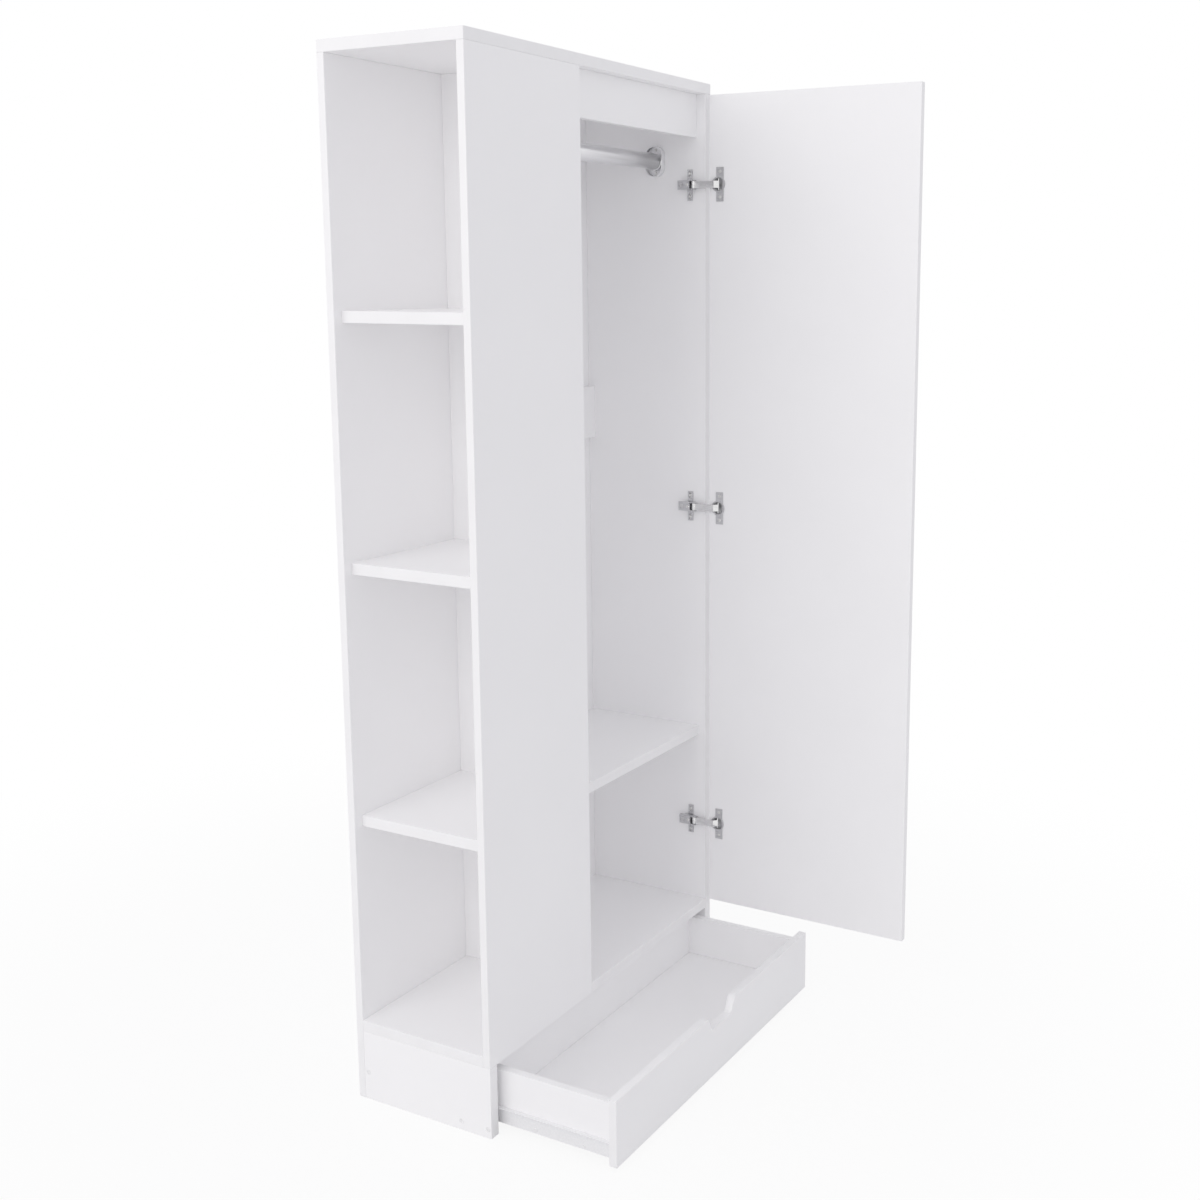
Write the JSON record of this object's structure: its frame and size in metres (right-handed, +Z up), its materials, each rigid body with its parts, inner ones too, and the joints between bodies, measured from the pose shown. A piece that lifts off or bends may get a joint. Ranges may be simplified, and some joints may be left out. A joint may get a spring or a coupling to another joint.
{
  "type": "corner wardrobe",
  "caption": "Tall white wardrobe with open end shelves on its left, a hinged door over a hanging bay and a low drawer below, shown with the door open and the drawer pulled out.",
  "frame": {"origin": "middle of the back face's bottom edge, on the floor", "axes": "+Z up, +Y out of the back towards the wall, +X to the right of someone facing the front"},
  "size_m": [0.85, 0.812, 2],
  "materials": {
    "white_board": "satin white melamine",
    "dowel_wood": "plain beech",
    "rail_steel": "satin",
    "bracket_metal": "satin nickel",
    "hinge_nickel": "nickel plated",
    "screw_steel": "zinc plated",
    "runner_white": "white coated",
    "roller_plastic": "matte"
  },
  "bodies": {
    "carcass": {"top_board": "white_board", "bottom_board": "white_board", "right_side_panel": "white_board", "divider_panel": "white_board", "front_fixed_panel": "white_board", "back_panel": "white_board", "left_plinth_panel": "white_board", "end_shelf_upper": "white_board", "end_shelf_middle": "white_board", "end_shelf_lower": "white_board", "wardrobe_shelf": "white_board", "valance_rail": "white_board", "back_batten": "white_board", "carcass_dowels": "dowel_wood", "hanging_rail": "rail_steel", "rail_bracket_left": "bracket_metal", "rail_bracket_right": "bracket_metal", "rail_bracket_screws": "screw_steel", "hinge_mounting_plates": "hinge_nickel", "hinge_arms": "hinge_nickel", "hinge_link_pins": "hinge_nickel", "hinge_plate_screws": "screw_steel", "hinge_adjusting_screws": "screw_steel", "cabinet_runner_left": "runner_white", "cabinet_runner_right": "runner_white", "cabinet_runner_screws": "screw_steel", "plinth_screws": "screw_steel"},
    "door": {"door_panel": "white_board", "hinge_cups": "hinge_nickel", "hinge_cup_screws": "screw_steel"},
    "hinge_links": {"hinge_links": "hinge_nickel"},
    "drawer": {"drawer_front": "white_board", "drawer_left_side": "white_board", "drawer_right_side": "white_board", "drawer_back": "white_board", "drawer_bottom": "white_board", "drawer_dowels": "dowel_wood", "drawer_runner_left": "runner_white", "drawer_runner_right": "runner_white", "drawer_runner_screws": "screw_steel"},
    "front_roller_left": {"front_roller_left": "roller_plastic"},
    "front_roller_right": {"front_roller_right": "roller_plastic"},
    "rear_roller_left": {"rear_roller_left": "roller_plastic"},
    "rear_roller_right": {"rear_roller_right": "roller_plastic"}
  },
  "joints": [
    {"name": "door_swing", "type": "hinge", "parent": "carcass", "child": "door", "pos_m": [0.4145, -0.3195, 0], "axis": [0, 0, 1], "range_deg": [-90, 5]},
    {"name": "link_swing", "type": "hinge", "parent": "carcass", "child": "hinge_links", "pos_m": [0.392, -0.298, 0], "axis": [0, 0, 1], "range_deg": [-108, 6]},
    {"name": "drawer_slide", "type": "slide", "parent": "carcass", "child": "drawer", "axis": [0, 1, 0], "range_m": [0, 0.26]},
    {"name": "front_roller_left_spin", "type": "hinge", "parent": "carcass", "child": "front_roller_left", "pos_m": [-0.398, -0.2988, 0.0427], "axis": [1, 0, 0], "continuous": true},
    {"name": "front_roller_right_spin", "type": "hinge", "parent": "carcass", "child": "front_roller_right", "pos_m": [0.398, -0.2988, 0.0427], "axis": [1, 0, 0], "continuous": true},
    {"name": "rear_roller_left_spin", "type": "hinge", "parent": "drawer", "child": "rear_roller_left", "pos_m": [-0.397, -0.285, 0.04], "axis": [1, 0, 0], "continuous": true},
    {"name": "rear_roller_right_spin", "type": "hinge", "parent": "drawer", "child": "rear_roller_right", "pos_m": [0.397, -0.285, 0.04], "axis": [1, 0, 0], "continuous": true}
  ],
  "couplings": [
    {"joint": "link_swing", "follows": "door_swing", "ratio": 1.2}
  ]
}
